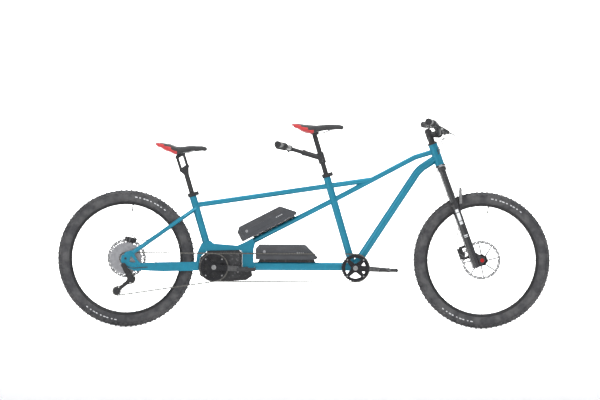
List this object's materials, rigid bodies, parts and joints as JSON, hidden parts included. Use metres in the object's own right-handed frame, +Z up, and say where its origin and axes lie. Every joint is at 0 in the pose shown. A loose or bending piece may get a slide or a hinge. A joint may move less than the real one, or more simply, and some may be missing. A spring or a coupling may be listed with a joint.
{
  "type": "tandem bicycle",
  "caption": "Electric tandem bicycle with a mid-mounted motor, frame batteries, a suspension fork, linked crank sets and a sprung stoker seatpost.",
  "frame": {"origin": "on the ground, at the middle of the bicycle's length and width", "axes": "+X forwards, +Y to the rider's left, +Z up; both wheels stand on the ground at z = 0"},
  "size_m": [2.5708, 0.792, 1.0907],
  "materials": {
    "frame_paint": "satin metallic cyan-blue paint",
    "black_metal": "satin black anodised metal",
    "fork_black": "gloss black paint",
    "silver": "brushed aluminium",
    "steel": "brushed steel",
    "chain_steel": "oiled plated steel",
    "tyre": "matt tyre rubber",
    "rubber": "matt rubber",
    "saddle_cover": "matt black saddle cover with red rear panels",
    "black_plastic": "matt black plastic",
    "battery_plastic": "satin dark grey plastic",
    "hose_plastic": "gloss black hose"
  },
  "bodies": {
    "frame": {"frame_tubes": "frame_paint", "rear_stays": "frame_paint", "frame_bearings": "black_metal", "motor_housing": "black_metal", "motor_cover": "black_plastic", "battery_rails": "black_metal", "timing_chain": "chain_steel", "drive_chain": "chain_steel", "seat_collars": "black_metal", "rear_caliper": "black_metal", "rear_hose_and_cable": "hose_plastic", "rear_axle": "black_metal", "derailleur_body": "black_metal"},
    "upper_battery": {"upper_battery": "battery_plastic"},
    "lower_battery": {"lower_battery": "battery_plastic"},
    "cassette": {"cassette": "silver"},
    "rear_cranks": {"rear_cranks": "black_metal"},
    "front_cranks": {"front_cranks": "black_metal"},
    "rear_right_pedal": {"rear_right_pedal": "black_plastic"},
    "rear_left_pedal": {"rear_left_pedal": "black_plastic"},
    "front_right_pedal": {"front_right_pedal": "black_plastic"},
    "front_left_pedal": {"front_left_pedal": "black_plastic"},
    "derailleur_cage": {"derailleur_cage": "black_metal"},
    "guide_pulley": {"guide_pulley": "black_plastic"},
    "tension_pulley": {"tension_pulley": "black_plastic"},
    "rear_wheel": {"rear_tyre": "tyre", "rear_rim": "black_metal", "rear_rotor": "steel", "rear_hub": "black_metal"},
    "captain_seat_lever": {"captain_seat_lever": "black_metal"},
    "stoker_seat_lever": {"stoker_seat_lever": "black_metal"},
    "captain_post": {"captain_seatpost": "black_metal", "captain_saddle": "saddle_cover", "stoker_stem": "black_metal"},
    "stoker_bar": {"stoker_stem_slider": "black_metal", "stoker_handlebar": "black_metal"},
    "stoker_post": {"stoker_seatpost": "black_metal"},
    "post_rear_link": {"post_rear_link": "black_metal"},
    "post_front_link": {"post_front_link": "black_metal"},
    "stoker_head": {"stoker_post_head": "black_metal", "stoker_saddle": "saddle_cover"},
    "steering": {"fork_crown": "fork_black", "fork_stanchions": "steel", "stem": "black_metal", "handlebar": "black_metal", "brake_lever_bodies": "black_metal", "handlebar_controls": "black_plastic", "steering_hoses": "hose_plastic", "front_brake_hose": "hose_plastic"},
    "right_brake_lever": {"right_brake_lever": "black_metal"},
    "left_brake_lever": {"left_brake_lever": "black_metal"},
    "shift_lever": {"shift_lever": "black_plastic"},
    "fork_lowers": {"fork_lowers": "fork_black", "front_axle": "black_metal", "mudguard": "black_plastic", "front_caliper": "black_metal"},
    "front_wheel": {"front_tyre": "tyre", "front_rim": "black_metal", "front_rotor": "steel", "front_hub": "black_metal"}
  },
  "joints": [
    {"name": "steering_turn", "type": "hinge", "parent": "frame", "child": "steering", "pos_m": [0.89273, 0, 0.34535], "axis": [-0.342, 0, 0.9397], "range_deg": [-60, 60], "deforming": ["steering_hoses"]},
    {"name": "fork_travel", "type": "slide", "parent": "steering", "child": "fork_lowers", "axis": [-0.342, 0, 0.9397], "range_m": [0, 0.12], "stiffness_N_per_m": 6000, "springref_m": -0.04, "deforming": ["front_brake_hose"]},
    {"name": "front_wheel_spin", "type": "hinge", "parent": "fork_lowers", "child": "front_wheel", "pos_m": [0.9275, 0, 0.358], "axis": [0, 1, 0], "continuous": true},
    {"name": "rear_wheel_spin", "type": "hinge", "parent": "frame", "child": "rear_wheel", "pos_m": [-0.9275, 0, 0.358], "axis": [0, 1, 0], "continuous": true},
    {"name": "rear_crank_spin", "type": "hinge", "parent": "frame", "child": "rear_cranks", "pos_m": [-0.468, 0, 0.314], "axis": [0, 1, 0], "continuous": true},
    {"name": "front_crank_spin", "type": "hinge", "parent": "frame", "child": "front_cranks", "pos_m": [0.2686, 0, 0.314], "axis": [0, 1, 0], "continuous": true},
    {"name": "cassette_spin", "type": "hinge", "parent": "frame", "child": "cassette", "pos_m": [-0.9275, -0.05, 0.358], "axis": [0, 1, 0], "continuous": true},
    {"name": "derailleur_cage_swing", "type": "hinge", "parent": "frame", "child": "derailleur_cage", "pos_m": [-0.8995, -0.06, 0.251], "axis": [0, -1, 0], "range_deg": [0, 20], "stiffness_Nm_per_rad": 1.5, "springref_deg": -20.05, "deforming": ["drive_chain"]},
    {"name": "guide_pulley_spin", "type": "hinge", "parent": "derailleur_cage", "child": "guide_pulley", "pos_m": [-0.8995, -0.06, 0.251], "axis": [0, 1, 0], "continuous": true},
    {"name": "tension_pulley_spin", "type": "hinge", "parent": "derailleur_cage", "child": "tension_pulley", "pos_m": [-0.9715, -0.06, 0.188], "axis": [0, 1, 0], "continuous": true},
    {"name": "rear_right_pedal_spin", "type": "hinge", "parent": "rear_cranks", "child": "rear_right_pedal", "pos_m": [-0.29823, -0.13, 0.3051], "axis": [0, 1, 0], "continuous": true},
    {"name": "rear_left_pedal_spin", "type": "hinge", "parent": "rear_cranks", "child": "rear_left_pedal", "pos_m": [-0.63777, 0.13, 0.3229], "axis": [0, 1, 0], "continuous": true},
    {"name": "front_right_pedal_spin", "type": "hinge", "parent": "front_cranks", "child": "front_right_pedal", "pos_m": [0.43837, -0.13, 0.3051], "axis": [0, 1, 0], "continuous": true},
    {"name": "front_left_pedal_spin", "type": "hinge", "parent": "front_cranks", "child": "front_left_pedal", "pos_m": [0.09883, 0.13, 0.3229], "axis": [0, 1, 0], "continuous": true},
    {"name": "captain_post_height", "type": "slide", "parent": "frame", "child": "captain_post", "axis": [-0.284, 0, 0.9588], "range_m": [-0.04, 0.04]},
    {"name": "stoker_post_height", "type": "slide", "parent": "frame", "child": "stoker_post", "axis": [-0.284, 0, 0.9588], "range_m": [-0.05, 0.02]},
    {"name": "stoker_stem_length", "type": "slide", "parent": "captain_post", "child": "stoker_bar", "axis": [-0.9595, 0, 0.2817], "range_m": [-0.025, 0.03]},
    {"name": "rear_link_swing", "type": "hinge", "parent": "stoker_post", "child": "post_rear_link", "pos_m": [-0.643, 0, 0.819], "axis": [0, -1, 0], "range_deg": [0, 30], "stiffness_Nm_per_rad": 60, "springref_deg": -17.19},
    {"name": "front_link_swing", "type": "hinge", "parent": "stoker_post", "child": "post_front_link", "pos_m": [-0.6105, 0, 0.8395], "axis": [0, -1, 0], "range_deg": [0, 30]},
    {"name": "saddle_head_level", "type": "hinge", "parent": "post_rear_link", "child": "stoker_head", "pos_m": [-0.66452, 0, 0.88603], "axis": [0, -1, 0], "range_deg": [-30, 0]},
    {"name": "captain_seat_lever_turn", "type": "hinge", "parent": "frame", "child": "captain_seat_lever", "pos_m": [0.14407, -0.017, 0.80466], "axis": [-0.284, 0, 0.9588], "range_deg": [0, 100]},
    {"name": "stoker_seat_lever_turn", "type": "hinge", "parent": "frame", "child": "stoker_seat_lever", "pos_m": [-0.55473, -0.017, 0.70066], "axis": [-0.284, 0, 0.9588], "range_deg": [0, 100]},
    {"name": "right_brake_lever_pull", "type": "hinge", "parent": "steering", "child": "right_brake_lever", "pos_m": [0.70932, -0.24377, 1.03855], "axis": [-0.5141, 0.0605, -0.8556], "range_deg": [0, 15], "stiffness_Nm_per_rad": 2, "springref_deg": -11.46},
    {"name": "left_brake_lever_pull", "type": "hinge", "parent": "steering", "child": "left_brake_lever", "pos_m": [0.70932, 0.24377, 1.03855], "axis": [0.5141, 0.0605, 0.8556], "range_deg": [0, 15], "stiffness_Nm_per_rad": 2, "springref_deg": -11.46},
    {"name": "shift_lever_press", "type": "hinge", "parent": "steering", "child": "shift_lever", "pos_m": [0.68445, -0.196, 1.03483], "axis": [0.3489, 0, -0.9371], "range_deg": [0, 20], "stiffness_Nm_per_rad": 0.6, "springref_deg": -17.19},
    {"name": "upper_battery_swing", "type": "hinge", "parent": "frame", "child": "upper_battery", "pos_m": [-0.31841, 0.045, 0.44056], "axis": [-0.8886, 0, -0.4587], "range_deg": [0, 20]},
    {"name": "lower_battery_swing", "type": "hinge", "parent": "frame", "child": "lower_battery", "pos_m": [-0.252, 0.045, 0.342], "axis": [-1, 0, 0], "range_deg": [0, 14]}
  ],
  "couplings": [
    {"joint": "front_crank_spin", "follows": "rear_crank_spin", "ratio": 1},
    {"joint": "cassette_spin", "follows": "rear_crank_spin", "ratio": 2.4},
    {"joint": "guide_pulley_spin", "follows": "rear_crank_spin", "ratio": -3.2727},
    {"joint": "tension_pulley_spin", "follows": "rear_crank_spin", "ratio": 3.2727},
    {"joint": "front_link_swing", "follows": "rear_link_swing", "ratio": 1},
    {"joint": "saddle_head_level", "follows": "rear_link_swing", "ratio": -1}
  ]
}
